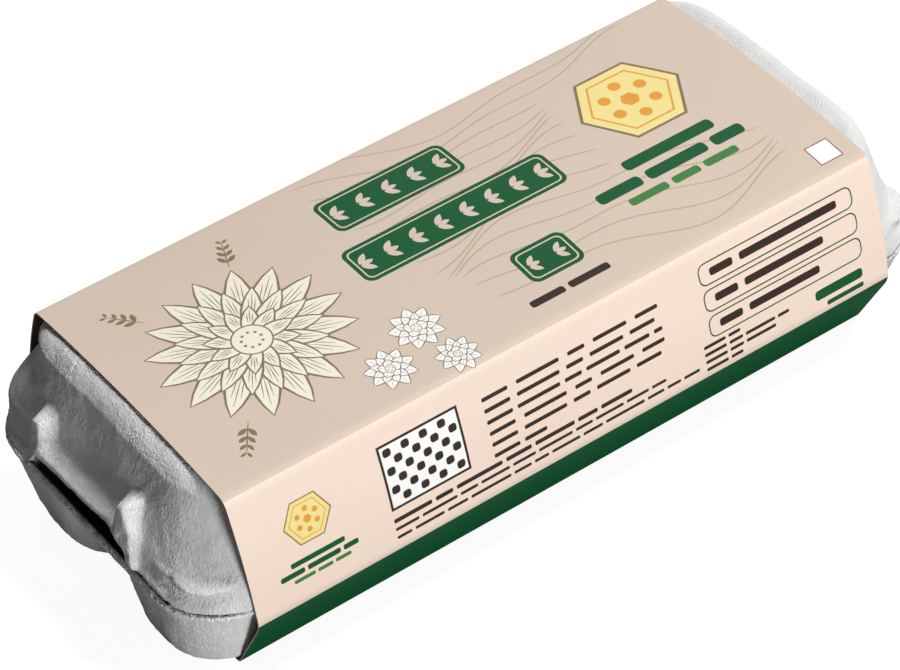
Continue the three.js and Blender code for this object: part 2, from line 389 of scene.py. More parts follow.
# Ink on card with a faint tooth; Wear lets pale fibres through
def cardGrainGroup(values):
    group, given, result = newGroup(
        "cardGrain",
        [("Ink", "NodeSocketColor", (0.6, 0.6, 0.6, 1)), ("Wear", "NodeSocketFloat", 0.0),
         ("Depth", "NodeSocketFloat", 0.5)],
        [("Color", "NodeSocketColor"), ("Height", "NodeSocketFloat"), ("Roughness", "NodeSocketFloat")])
    place = group.nodes.new("ShaderNodeTexCoord").outputs["Object"]
    cloud = centred(group, addNoise(group, place, values["cloudScale"], 2))
    tooth = addNoise(group, place, values["toothScale"], 2)
    fibres = addNoise(group, addStretch(group, place, (0.25, 1, 1)), values["fibreScale"], 2)
    shade = weighted(group, ((cloud, values["cloudShade"]), (centred(group, tooth), values["toothShade"])))
    shade = addMath(group, "ADD", addMath(group, "MULTIPLY", shade, given.outputs["Depth"]), 1.0)
    inked = addMix(group, 1.0, given.outputs["Ink"], greyOf(group, shade), "MULTIPLY")
    rubbed = addMath(group, "MULTIPLY", addRange(group, fibres, 0.45, 0.75), given.outputs["Wear"], True)
    group.links.new(addMix(group, rubbed, inked, values["fibreTone"]), result.inputs["Color"])
    group.links.new(weighted(group, ((tooth, 0.5), (fibres, 0.5))), result.inputs["Height"])
    gloss = addRange(group, cloud, -0.5, 0.5, values["smoothest"], values["roughest"])
    group.links.new(gloss, result.inputs["Roughness"])
    return group


def newMaterial(name):
    material = bpy.data.materials.new(name)
    material.use_nodes = True
    return material, material.node_tree, material.node_tree.nodes["Principled BSDF"]


def addBump(tree, shader, height, strength, distance):
    bump = tree.nodes.new("ShaderNodeBump")
    bump.inputs["Strength"].default_value = strength
    bump.inputs["Distance"].default_value = distance
    tree.links.new(height, bump.inputs["Height"])
    tree.links.new(bump.outputs["Normal"], shader.inputs["Normal"])


# One attribute runs from the near end to the far one and paints light and shade: paler pulp at the shaded
# near end, darker and less mottled pulp at the lit far end. The other marks the hollow behind the arches,
# which is painted near black as shade.
def pulpMaterial(name, values, fibre):
    material, tree, shader = newMaterial(name)
    endToEndShade = tree.nodes.new("ShaderNodeAttribute")
    endToEndShade.attribute_name = "endToEndShade"
    inside = tree.nodes.new("ShaderNodeAttribute")
    inside.attribute_name = "inside"
    # painted light and shade: paler pulp at the shaded near end, darker at the lit far end
    tone = addMix(tree, endToEndShade.outputs["Fac"], values["nearTone"], values["farTone"])
    # painted shade: the hollow behind the arches turns near black
    tone = addMix(tree, inside.outputs["Fac"], tone, values["hollowShadeTone"])
    group = tree.nodes.new("ShaderNodeGroup")
    group.node_tree = fibre
    tree.links.new(addRange(tree, endToEndShade.outputs["Fac"], 0, 1, values["mottle"], values["farMottle"]),
                   group.inputs["Mottle"])
    group.inputs["Fleck"].default_value = values["fleck"]
    tree.links.new(tone, group.inputs["Tone"])
    tree.links.new(group.outputs["Color"], shader.inputs["Base Color"])
    shader.inputs["Roughness"].default_value = values["roughness"]
    shader.inputs["Specular IOR Level"].default_value = values["shine"]
    addBump(tree, shader, group.outputs["Height"], values["bumpStrength"], values["bumpDistance"])
    return material


inkValues = {
    # ink: colour, rubbed fibres showing through
    "tan": (linear(216, 198, 181), 0.0),
    "peach": (linear(245, 223, 206), 0.0),
    "green": (linear(19, 90, 51), 0.0),
    "line": (linear(190, 171, 151), 0.0),
    "sepia": (linear(140, 118, 92), 0.0),
    "cream": (linear(243, 238, 222), 0.0),
    "white": (linear(250, 250, 248), 0.0),
    "yellow": (linear(244, 226, 150), 0.0),
    "amber": (linear(232, 160, 60), 0.0),
    "leaf": (linear(70, 130, 70), 0.0),
    "dark": (linear(58, 46, 40), 0.0),
    "red": (linear(140, 30, 40), 0.0),
    "kraft": (linear(122, 92, 70), 0.0),
    "cut": (linear(196, 178, 158), 0.3),
}
inkOrder = list(inkValues)


def cardMaterials(inks, values, grain):
    made = []
    for name in inkOrder:
        color, wear = inks[name]
        material, tree, shader = newMaterial("card" + name.capitalize())
        group = tree.nodes.new("ShaderNodeGroup")
        group.node_tree = grain
        group.inputs["Ink"].default_value = color
        group.inputs["Wear"].default_value = wear
        group.inputs["Depth"].default_value = values["bareDepth"] if name in ("kraft", "cut") else 1.0
        tree.links.new(group.outputs["Color"], shader.inputs["Base Color"])
        tree.links.new(group.outputs["Roughness"], shader.inputs["Roughness"])
        shader.inputs["Specular IOR Level"].default_value = values["shine"]
        addBump(tree, shader, group.outputs["Height"], values["bumpStrength"], values["bumpDistance"])
        made.append(material)
    return made


pulp = pulpMaterial("mouldedPulp", pulpValues, pulpFibreGroup(pulpValues))
cardInks = cardMaterials(inkValues, cardValues, cardGrainGroup(cardValues))
print("materials ready")


# Print on the wrap, in (u, s): u along the pack from the wrap's middle, s round it from the front
# shoulder fold, with the front panels at s above 0 and the top panel at s below 0

def bar(u0, u1, s0, s1, radius=None, steps=5):
    radius = min(radius if radius is not None else 9e9, (u1 - u0) / 2, (s1 - s0) / 2)
    corners = [(u1 - radius, s1 - radius, 0), (u0 + radius, s1 - radius, 90), (u0 + radius, s0 + radius, 180),
               (u1 - radius, s0 + radius, 270)]
    return [(u + radius * math.cos(math.radians(a + 90 * i / steps)),
             s + radius * math.sin(math.radians(a + 90 * i / steps)))
            for u, s, a in corners for i in range(steps + 1)]


def disc(u, s, radius, steps=48):
    return [(u + radius * math.cos(2 * math.pi * i / steps), s + radius * math.sin(2 * math.pi * i / steps))
            for i in range(steps)]


def petal(u, s, angle, start, end, width, steps=7):
    across = [width / 2 * math.sin(math.pi * i / steps) ** 0.8 for i in range(1, steps)]
    along = [start + (end - start) * i / steps for i in range(1, steps)]
    side = [(start, 0), *zip(along, across), (end, 0)]
    side += [(a, -w) for a, w in zip(along[::-1], across[::-1])]
    c, n = math.cos(angle), math.sin(angle)
    return [(u + a * c - w * n, s + a * n + w * c) for a, w in side]


def stroke(points, width):
    points = np.array(points, float)
    along = np.gradient(points, axis=0)
    along /= np.linalg.norm(along, axis=1)[:, None]
    normal = np.stack([-along[:, 1], along[:, 0]], 1)
    taper = np.ones(len(points))
    taper[0] = taper[-1] = 0.35
    half = normal * (width / 2 * taper)[:, None]
    return [tuple(p) for p in np.concatenate([points + half, (points - half)[::-1]])]


# A plain ribbon with a thin inner line and a row of leaves
def ribbon(shapes, u0, u1, s0, s1):
    middle, high = (s0 + s1) / 2, s1 - s0
    shapes.append(("green", bar(u0, u1, s0, s1, 3)))
    shapes.append(("tan", bar(u0 + 1.3, u1 - 1.3, s0 + 1.3, s1 - 1.3, 2)))
    shapes.append(("green", bar(u0 + 1.8, u1 - 1.8, s0 + 1.8, s1 - 1.8, 1.7)))
    count = max(2, round((u1 - u0) / 9))
    for i in range(count):
        at = u0 + (u1 - u0) * (i + 0.5) / count - high * 0.15
        for side in (-1, 1):
            shapes.append(("tan", petal(at, middle, side * 0.75, 0.4, high * 0.34, high * 0.13)))
        shapes.append(("tan", petal(at, middle, 0, 0.6, high * 0.30, high * 0.12)))


# Three rings of veined petals round a dotted middle
def rosette(shapes, u, s, radius, petals, fill, outline=0.7):
    large = radius > 9
    for ring, (reach, count) in enumerate(((1.0, petals), (0.72, petals), (0.46, petals - 4))):
        for i in range(count):
            angle = 2 * math.pi * (i + 0.5 * ring) / count
            width = 2 * math.pi * radius * reach * 0.62 / count
            shapes.append(("sepia", petal(u, s, angle, 0, radius * reach, width * 1.18 + outline * 0.7)))
            shapes.append((fill, petal(u, s, angle, 0, radius * reach - outline, width * 1.02)))
            for side in (-0.25, 0, 0.25) if large else (0,):
                a = angle + side * width / radius / reach
                vein = np.linspace(radius * reach * 0.5, radius * reach * (0.86 - abs(side) * 0.4), 3)
                line = [(u + r * math.cos(a), s + r * math.sin(a)) for r in vein]
                shapes.append(("sepia", stroke(line, outline * 0.46)))
    shapes.append(("sepia", disc(u, s, radius * 0.2)))
    shapes.append(("cream", disc(u, s, radius * 0.2 - outline * 0.7)))
    dots = 9 if large else 4
    for i in range(dots):
        angle = 2 * math.pi * i / dots
        shapes.append(("sepia", disc(u + radius * 0.1 * math.cos(angle), s + radius * 0.1 * math.sin(angle),
                                     outline * 0.7, 8)))


def sprig(shapes, u, s, angle, length, leaves, ink, stem=0.5):
    tip = (u + length * math.cos(angle), s + length * math.sin(angle))
    shapes.append((ink, stroke([(u, s), ((u + tip[0]) / 2, (s + tip[1]) / 2), tip], stem)))
    for i in range(leaves):
        t = (i + 0.8) / leaves
        base = (u + (tip[0] - u) * t, s + (tip[1] - s) * t)
        size = length * 0.32 * (1.15 - 0.55 * t)
        for side in (-1, 1):
            shapes.append((ink, petal(base[0], base[1], angle + side * 0.75, 0.2, size, size * 0.42, 5)))


def sixSidedPatch(shapes, u, s, radius):
    for ink, share in (("sepia", 1.0), ("yellow", 0.94), ("amber", 0.78), ("yellow", 0.74)):
        shapes.append((ink, disc(u, s, radius * share, 6)))
    for i in range(6):
        angle = math.pi * (i + 0.5) / 3
        shapes.append(("amber", disc(u + radius * 0.42 * math.cos(angle), s + radius * 0.42 * math.sin(angle),
                                     radius * 0.11, 16)))
    shapes.append(("amber", disc(u, s, radius * 0.17, 6)))


def framedSquare(shapes, place, edge, ink):
    u0, u1, s0, s1 = place
    shapes.append((ink, bar(u0, u1, s0, s1, 0.01, 1)))
    shapes.append(("white", bar(u0 + edge, u1 - edge, s0 + edge, s1 - edge, 0.01, 1)))


def chequers(shapes, place, rows, columns):
    framedSquare(shapes, place, 0.8, "dark")
    for row in range(rows):
        for column in range(row % 2, columns, 2):
            u, s = place[0] + 1.4 + column * 3.1, place[2] + 1.5 + row * 3.0
            shapes.append(("dark", bar(u + 0.15, u + 2.85, s + 0.15, s + 2.7, 0.8, 2)))


def outlinedBox(shapes, u0, u1, s0, s1):
    shapes.append(("green", bar(u0, u1, s0, s1, 2.6)))
    shapes.append(("peach", bar(u0 + 0.45, u1 - 0.45, s0 + 0.45, s1 - 0.45, 2.2)))


# Where bars of the given lengths, taken in turn, start and stop between two ends
def barRun(start, end, lengths, gap):
    found, at, i = [], start, 0
    while at < end - 1:
        stop = min(at + lengths[i % len(lengths)], end)
        found.append((at, stop))
        at, i = stop + gap, i + 1
    return found


def barRows(shapes, rows):
    for ink, s, height, start, end, lengths, gap in rows:
        for u0, u1 in barRun(start, end, lengths, gap):
            shapes.append((ink, bar(u0, u1, s, s + height, height * 0.3, 2)))


printValues = {
    "wavyLines": 15, "lineWidth": 0.55,
    # middle and radius of round shapes
    "flower": (-73, -46, 31), "sprigAngles": (2.2, 4.05, 5.1), "sprigReach": 32, "sprigLength": 12,
    "smallFlowers": [(-49, -13, 8), (-34, -21.5, 8.5), (-30.5, -6.5, 7)],
    "backFlowers": (-78, -26, 26, 78), "backRadius": 11,
    "topPatch": (74, -62, 18.5), "frontPatch": (-91.5, 16.5, 8.0),
    # both ends of square shapes along the pack, then round it
    "ribbons": [(-28, 18, -83, -67), (-34, 38, -60, -44), (3, 22, -29, -15)],
    "whiteSquare": (99.8, 108.2, -12.6, -4.2), "chequers": (-66, -38.5, 7.4, 28.4),
    "boxes": [(47.5, 105, s, s + 7.3) for s in (5.4, 13.9, 22.4)],
    # rows of bars: ink, place round the wrap, height, both ends, lengths of the bars, gap
    "ribbonBars": [("dark", -10.5, 2.6, -3, 25, (12, 16), 1.6)],
    "topBars": [("green", -40.5, 4.4, 53, 86, (33,), 2), ("green", -33.5, 4.4, 38, 92, (16, 22, 12), 2.2),
                ("leaf", -26.5, 3.0, 45, 85, (14, 10, 16), 1.8)],
    "patchBars": [("green", 27.4, 1.7, -100, -82, (18,), 1), ("green", 30.2, 1.7, -104, -78, (8, 11, 5), 1),
                  ("leaf", 33.0, 1.2, -100, -81, (7, 5, 7), 0.9)],
    "frontBars": [
        *(("dark", 9.6 + 3.7 * i, 1.3, -30.5, 32 if i < 5 else -12, (9, 15, 6, 12), 3.1 - (i % 3) * 0.7)
          for i in range(6)),
        ("dark", 31.1, 1.4, -66, 18, (13, 6, 16, 9, 14, 7), 1.3),
        ("dark", 34.1, 1.0, -66, 30, (8, 12, 6, 10), 1.2),
        ("dark", 36.9, 1.0, -66, 42, (5, 10, 7, 14, 6), 1.2),
        *(("dark", 30.9 + 2.5 * i, 1.1, 44.5, end, (8, 5, 11), 1.1)
          for i, end in enumerate((58, 76, 71, 58))),
    ],
    "boxBars": [("dark", s, 2.6, 51.5, end, (8.5, 50), 2.5)
                for s, end in ((7.7, 99), (16.2, 92), (24.7, 89))],
    "cornerBars": [("green", 33.0, 3.4, 86, 104, (18,), 1), ("green", 38.0, 1.6, 90, 104, (14,), 1)],
}


def wavyLines(shapes, values):
    for i in range(values["wavyLines"]):
        run = np.linspace(-30 + i * 1.5, 52 if 2 <= i <= 9 else 96, 30)
        rise = -92 + i * 5.6 + 5.5 * np.sin(run / 21 + i * 0.35) + 2.5 * np.sin(run / 9.5 + i)
        shapes.append(("line", stroke(list(zip(run, rise)), values["lineWidth"])))


# Every shape as an ink and an outline; a later shape covers an earlier one
def printShapes(edges, values):
    limit = wrapHalf + 1
    bands = (("peach", "front", "waist"), ("green", "waist", "bottom"),
             ("peach", "backWaist", "backShoulder"), ("green", "backBottom", "backWaist"))
    shapes = [(ink, bar(-limit, limit, edges[low], edges[high], 0.001, 1)) for ink, low, high in bands]
    wavyLines(shapes, values)
    u, s, radius = values["flower"]
    rosette(shapes, u, s, radius, 16, "cream")
    reach, length = values["sprigReach"], values["sprigLength"]
    for angle in values["sprigAngles"]:
        sprig(shapes, u + reach * math.cos(angle), s + reach * math.sin(angle), angle, length, 4, "sepia")
    for u, s, radius in values["smallFlowers"]:
        rosette(shapes, u, s, radius, 9, "white", 0.3)
    for place in values["ribbons"]:
        ribbon(shapes, *place)
    barRows(shapes, values["ribbonBars"])
    sixSidedPatch(shapes, *values["topPatch"])
    barRows(shapes, values["topBars"])
    framedSquare(shapes, values["whiteSquare"], 0.35, "red")
    sixSidedPatch(shapes, *values["frontPatch"])
    barRows(shapes, values["patchBars"])
    chequers(shapes, values["chequers"], 6, 8)
    barRows(shapes, values["frontBars"])
    for place in values["boxes"]:
        outlinedBox(shapes, *place)
    barRows(shapes, values["boxBars"] + values["cornerBars"])
    backMiddle = (edges["backShoulder"] + edges["backWaist"]) / 2
    for u in values["backFlowers"]:
        rosette(shapes, u, backMiddle, values["backRadius"], 12, "cream")
    return shapes


# Where the wrap's folds lie in the print's own measure
def wrapFolds(values, rows):
    def corner(y, z):
        return float(rows[int(np.argmin(np.hypot(section[:, 0] - y, section[:, 1] - z)))])

    return {
        "front": 0.0, "waist": corner(-values["waistHalf"], values["waistHeight"]),
        "bottom": corner(-values["bottomHalf"], 0), "backBottom": corner(values["bottomHalf"], 0),
        "backShoulder": corner(values["shoulderHalf"], values["shoulderHeight"]),
        "backWaist": corner(values["waistHalf"], values["waistHeight"]),
    }


# The flat sheet cut along every printed outline: its points, its triangles and their inks
def printedSheet(values):
    rows = sectionAround - printZero
    low, high = rows[0] + values["seamGap"] / 2, rows[-1] - values["seamGap"] / 2
    points, links, polygons, inks = [], [], [], []

    def addPolygon(ink, outline):
        start = len(points)
        turn = sum(a[0] * b[1] - a[1] * b[0] for a, b in zip(outline, outline[1:] + outline[:1]))
        points.extend(outline if turn > 0 else outline[::-1])
        polygons.append(list(range(start, len(points))))
        inks.append(inkOrder.index(ink))

    addPolygon("tan", [(-wrapHalf, low), (wrapHalf, low), (wrapHalf, high), (-wrapHalf, high)])
    for ink, outline in printShapes(wrapFolds(values, rows), printValues):
        addPolygon(ink, outline)
    for s in rows[1:-1]:
        points += [(-wrapHalf, s), (wrapHalf, s)]
        links.append((len(points) - 2, len(points) - 1))
    for u in np.linspace(-wrapHalf, wrapHalf, int(2 * wrapHalf / values["gridAlong"]))[1:-1]:
        points += [(u, low), (u, high)]
        links.append((len(points) - 2, len(points) - 1))
    corners = [Vector(p) for p in points]
    flat, _, faces, _, _, owners = geometry.delaunay_2d_cdt(corners, links, polygons, 1, 1e-4)
    flat = np.array([tuple(p) for p in flat])
    keep = [i for i in range(len(faces)) if 0 in owners[i]]
    return flat, [list(faces[i]) for i in keep], [inks[max(owners[i])] for i in keep]


# The sheet folded round the section and given its thickness, with kraft inside and cut edges
def wrapMesh(values):
    flat, faces, inks = printedSheet(values)
    around = flat[:, 1] + printZero
    spot, out = (np.stack([np.interp(around, sectionAround, line[:, k]) for k in (0, 1)], 1)
                 for line in (section, sectionNormal))
    out /= np.linalg.norm(out, axis=1)[:, None]
    outer = np.column_stack([flat[:, 0] + wrapMiddle, spot])
    normal = np.column_stack([np.zeros(len(out)), out])
    wave = np.sin(flat[:, 0] / 31 + 1.3 * np.sin(flat[:, 1] / 40)) + np.sin(flat[:, 1] / 17 + flat[:, 0] / 60)
    dip = values["waviness"] * (0.5 + 0.25 * wave)
    outer = outer - normal * (dip * smooth(0.5, 6, outer[:, 2]))[:, None]
    inner = outer - normal * values["thickness"]
    count = len(outer)
    used = dict.fromkeys(pair for face in faces for pair in zip(face, face[1:] + face[:1]))
    rim = [(a, b) for a, b in used if (b, a) not in used]
    allFaces = [f[::-1] for f in faces] + [[i + count for i in f] for f in faces]
    allFaces += [(a, b, b + count, a + count) for a, b in rim]
    allInks = inks + [inkOrder.index("kraft")] * len(faces) + [inkOrder.index("cut")] * len(rim)
    sharp = {tuple(sorted(pair)) for a, b in rim for pair in ((a, b), (a + count, b + count))}
    return np.concatenate([outer, inner]), allFaces, allInks, sharp


wrapPoints, wrapFaces, wrapInks, wrapSharp = wrapMesh(wrapValues)
wrap = makeObject("printedWrap", wrapPoints, wrapFaces, cardInks, wrapInks)
for edge in wrap.data.edges:
    edge.use_edge_sharp = tuple(sorted(edge.vertices)) in wrapSharp
print("wrap made,", len(wrapFaces), "faces,", round(time.time() - started, 1), "s")


# Geometry Nodes trees

def newTree(name, inputs):
    tree = bpy.data.node_groups.new(name, "GeometryNodeTree")
    tree.interface.new_socket(name="Geometry", in_out="INPUT", socket_type="NodeSocketGeometry")
    for label, kind in inputs:
        tree.interface.new_socket(name=label, in_out="INPUT", socket_type=kind)
    tree.interface.new_socket(name="Geometry", in_out="OUTPUT", socket_type="NodeSocketGeometry")
    given = tree.nodes.new("NodeGroupInput").outputs
    return tree, given, tree.nodes.new("NodeGroupOutput").inputs["Geometry"]


def addNode(tree, kind, settings=None, **inputs):
    node = tree.nodes.new("GeometryNode" + kind if not kind.startswith(("Function", "Shader")) else kind)
    for name, value in (settings or {}).items():
        setattr(node, name, value)
    for name, value in inputs.items():
        label = name.replace("_", " ")
        socket = [s for s in node.inputs if s.name == label and s.enabled][0]
        if isinstance(value, bpy.types.NodeSocket):
            tree.links.new(value, socket)
        else:
            socket.default_value = value
    return [s for s in node.outputs if s.enabled]


def growWith(piece, tree, values):
    change = piece.modifiers.new(tree.name, "NODES")
    change.node_group = tree
    for item in tree.interface.items_tree:
        if item.in_out == "INPUT" and item.name in values:
            change[item.identifier] = values[item.name]
    return applied(piece)


def applied(piece):
    bpy.context.view_layer.update()
    shown = piece.evaluated_get(bpy.context.evaluated_depsgraph_get())
    data = bpy.data.meshes.new_from_object(shown)
    old = piece.data
    piece.modifiers.clear()
    piece.data = data
    bpy.data.meshes.remove(old)
    return piece


# Sets a row of cups along the tray, turns a second row to face it, and joins both with the tray's body
def cupArrayTree():
    tree, given, result = newTree("cupArray", [
        ("Cup", "NodeSocketObject"), ("Columns", "NodeSocketInt"), ("Cup Pitch", "NodeSocketFloat"),
        ("Material", "NodeSocketMaterial")])
    last = addNode(tree, "ShaderNodeMath", {"operation": "SUBTRACT"}, Value=given["Columns"])[0]
    last.node.inputs[1].default_value = 1
    reach = addNode(tree, "ShaderNodeMath", {"operation": "MULTIPLY"}, Value=last)[0]
    tree.links.new(given["Cup Pitch"], reach.node.inputs[1])
    first = addNode(tree, "ShaderNodeMath", {"operation": "MULTIPLY"}, Value=reach)[0]
    first.node.inputs[1].default_value = -0.5
    start = addNode(tree, "ShaderNodeCombineXYZ", X=first)[0]
    step = addNode(tree, "ShaderNodeCombineXYZ", X=given["Cup Pitch"])[0]
    line = addNode(tree, "MeshLine", Count=given["Columns"], Start_Location=start, Offset=step)[0]
    cup = addNode(tree, "ObjectInfo", Object=given["Cup"])
    cup = [s for s in cup if s.name == "Geometry"][0]
    row = addNode(tree, "InstanceOnPoints", Points=line, Instance=cup)[0]
    turned = addNode(tree, "Transform", Geometry=row, Rotation=(0, 0, math.pi))[0]
    joined = addNode(tree, "JoinGeometry", Geometry=given["Geometry"])[0]
    for part in (row, turned):
        tree.links.new(part, joined.node.inputs["Geometry"])
    real = addNode(tree, "RealizeInstances", Geometry=joined)[0]
    tree.links.new(addNode(tree, "SetMaterial", Geometry=real, Material=given["Material"])[0], result)
    return tree


# Scatters small flakes of pulp along a path, as a torn edge has
def rimFibreTree():
    tree, given, result = newTree("rimFibre", [
        ("Spacing", "NodeSocketFloat"), ("Flake Size", "NodeSocketFloat"), ("Wander", "NodeSocketFloat"),
        ("Seed", "NodeSocketInt"), ("Material", "NodeSocketMaterial")])
    curve = addNode(tree, "MeshToCurve", Mesh=given["Geometry"])[0]
    path = addNode(tree, "ResampleCurve", {"mode": "LENGTH"}, Curve=curve, Length=given["Spacing"])[0]

    def randomVector(low, high, shift):
        seed = addNode(tree, "ShaderNodeMath", {"operation": "ADD"}, Value=given["Seed"])[0]
        seed.node.inputs[1].default_value = shift
        settings = {"data_type": "FLOAT_VECTOR"}
        return addNode(tree, "FunctionNodeRandomValue", settings, Min=low, Max=high, Seed=seed)[0]

    drift = addNode(tree, "ShaderNodeVectorMath", {"operation": "SCALE"}, Scale=given["Wander"])[0]
    tree.links.new(randomVector((-1, -1, -1), (1, 1, 1), 1), drift.node.inputs[0])
    points = addNode(tree, "CurveToPoints", {"mode": "EVALUATED"}, Curve=path)[0]
    moved = addNode(tree, "SetPosition", Geometry=points, Offset=drift)[0]
    flake = addNode(tree, "MeshIcoSphere", Radius=given["Flake Size"], Subdivisions=1)[0]
    turn = randomVector((0, 0, 0), (math.tau, math.tau, math.tau), 2)
    size = randomVector((0.35, 0.3, 0.3), (1.7, 0.9, 0.7), 3)
    spread = addNode(tree, "InstanceOnPoints", Points=moved, Instance=flake, Rotation=turn, Scale=size)[0]
    real = addNode(tree, "RealizeInstances", Geometry=spread)[0]
    tree.links.new(addNode(tree, "SetMaterial", Geometry=real, Material=given["Material"])[0], result)
    return tree


# Lid

lidValues = {
    "bottom": 31.4,
    # height, half length, corner radius at the front and at the back, share of the radius along the pack
    "walls": [
        (31.0, 132.5, 22.5, 22.5, 1.0), (31.9, 132.2, 22.2, 22.2, 1.0), (33.0, 131.5, 22.0, 21.7, 1.0),
        (33.6, 131.0, 21.6, 21.0, 1.0), (34.2, 130.7, 21.4, 20.6, 1.0), (36.0, 130.3, 21.6, 19.0, 1.0),
        (38.6, 129.8, 22.4, 17.4, 1.0), (39.1, 129.7, 24.0, 17.2, 0.95), (39.9, 129.4, 27.2, 16.8, 0.86),
        (41.5, 128.9, 27.8, 16.6, 0.84), (45.0, 127.3, 27.6, 17.6, 0.84), (49.0, 125.9, 27.0, 20.0, 0.84),
        (53.0, 124.5, 26.2, 22.4, 0.84), (56.5, 123.4, 25.4, 22.4, 0.86), (60.0, 122.4, 24.4, 19.0, 0.88),
        (61.3, 122.0, 24.0, 16.6, 0.90), (61.9, 121.5, 23.6, 15.6, 0.90), (63.4, 120.1, 22.6, 14.2, 0.92),
        (64.8, 118.4, 21.4, 13.0, 0.95), (65.6, 116.6, 20.4, 12.4, 1.0),
    ],
    "lean": 1.5, "rowStep": 0.5, "cornerSteps": 26, "sideSteps": 14,
    # where across an end the columns of the mesh start, and how far apart they are
    "columns": [(-46, 0.8), (-34, 0.6), (-28, 0.42), (-12, 0.75), (19, 0.42), (32, 0.7), (34, 0)],
    "flareLift": 2.3, "flareEnd": 38.0, "blendTop": 54.0,
    # the inner shell: thickness, height, number of rings and share of the relief that it follows
    "thickness": 2.0, "ceiling": 56.0, "innerRings": 26, "innerRelief": 0.85,
    # the rings that close the top: share of the way to the last one, and its half length and width,
    # its corner radius and the share that its columns close up to
    "roofSteps": (0.15, 0.32, 0.55, 1.0), "roofHalf": (100, 34), "roofCorner": 8, "roofColumns": 32 / 46,
    "crownHalf": 46,
    # the lower edge of each end: (y, z), raised over the arched opening
    "edge": [(-46, 31.6), (-40, 32.2), (-33, 33.0), (-27, 33.4), (-24, 33.9), (-21.2, 36.7), (-18.3, 38.9),
             (-15, 39.3), (-7.8, 39.1), (1.2, 38.7), (9.2, 38.5), (16.5, 38.4), (21, 39.0), (23.3, 39.6),
             (25.5, 37.4), (28.5, 32.6), (31, 31.7), (34, 31.4)],
    "rough": 0.13, "lumps": 0.3, "torn": 0.4, "tornHeight": 1.6,
}

# The relief of an end, as chains of crease points: (y, z, how far it stands out)
reliefValues = {
    "chains": {
        "nearCrest": [(-19.0, 51.0, 6.4), (-20.3, 49.4, 6.1), (-21.6, 47.2, 5.5),
            (-23.2, 44.2, 4.5), (-24.7, 39.0, 3.5), (-25.6, 34.0, 2.3), (-26.0, 32.0, 1.0)],
        "nearBack": [(-19.0, 51.0, 6.4), (-17.2, 49.6, 6.2), (-16.6, 45.0, 5.0), (-17.6, 41.2, 3.7),
            (-18.3, 38.9, 3.1), (-21.2, 36.7, 2.2), (-24.0, 33.0, 0.9)],
        "nearCap": [(-21.6, 52.3, 0.1), (-18.5, 52.6, 0.1), (-15.6, 50.8, 0.1), (-14.6, 49.4, 0.1),
            (-14.2, 45.4, 0.3), (-13.2, 42.2, 0.7), (-12.2, 41.0, 1.4), (-12.4, 39.3, 1.9)],
        "nearFoot": [(-21.6, 52.3, 0.1), (-22.3, 49.0, 0.7), (-23.4, 46.0, 1.0), (-25.4, 42.5, 1.0),
            (-26.8, 38, 0.7), (-27.8, 34.0, 0.3)],
        "nearSoft": [(-24.5, 53.2, 0.0), (-27.5, 48.9, 0.0), (-31, 43, 0.0), (-32.6, 38, 0.0),
            (-34, 33, 0.0)],
        "lipCrest": [(26.4, 50.0, 6.3), (23.8, 49.4, 6.1), (22.5, 46.1, 5.4), (22.3, 43.4, 4.5),
            (20.8, 41.4, 3.5), (16.4, 40.4, 2.9), (8.2, 40.0, 2.7), (1.4, 40.1, 2.7),
            (-5.4, 40.3, 2.5), (-9.6, 40.6, 2.1), (-12.2, 41.0, 1.4)],
        "lipFoot": [(26.8, 51.4, 0.1), (23.2, 50.6, 0.1), (21.1, 47.6, 0.2), (20.2, 44.6, 0.4),
            (17.5, 43.2, 0.2), (9.7, 42.9, 0.1), (2.9, 43.3, 0.1), (-3.3, 43.7, 0.1),
            (-6.6, 43.4, 0.1), (-9.8, 42.6, 0.3), (-13.2, 42.2, 0.7)],
        "lipEdge": [(-12.4, 39.3, 1.9), (-7.8, 39.0, 2.1), (1.2, 38.6, 2.1), (9.2, 38.4, 2.1),
            (16.5, 38.3, 2.3), (21, 39.0, 3.0), (23.3, 39.6, 3.5), (25.5, 37.4, 2.8),
            (28.5, 32.6, 1.2)],
        "farBack": [(26.4, 50.0, 6.3), (27.7, 48.8, 6.2), (27.6, 44.9, 5.3), (28.8, 38.6, 3.0),
            (30.8, 32.1, 0.8)],
        "farOuter": [(26.8, 51.4, 0.1), (29.3, 50.0, 0.1), (29.9, 45, 0.1), (31.2, 38.6, 0.1),
            (33.4, 32.1, 0.0)],
        "foldLeft": [(-38.6, 39.4, 0.0), (-41.0, 37.0, -1.0), (-43.4, 35.4, -1.2),
            (-44.3, 33.6, 0.0)],
        "foldTop": [(-38.6, 39.4, 0.0), (-41.8, 39.0, 1.7), (-45.6, 38.8, 3.1), (-49.5, 38.9, 3.3),
            (-52.1, 39.2, 2.3), (-54, 39.6, 0.9)],
        "foldAbove": [(-38.6, 39.4, 0.0), (-41.8, 40.2, 0.0), (-45.6, 40.6, 0.0),
            (-49.5, 40.9, 0.0), (-54, 41.4, 0.0)],
        "foldLow": [(-43.4, 35.4, -1.5), (-46.5, 35.4, -1.2), (-49.5, 35.4, -1.0),
            (-53, 35.4, -0.8)],
        "foldFoot": [(-44.3, 33.6, 0.0), (-49.5, 33.4, 0.0), (-54, 33.4, 0.0)],
    },
    "step": 0.2, "blur": 0.36, "yRange": (-60, 60), "zRange": (28, 68),
}


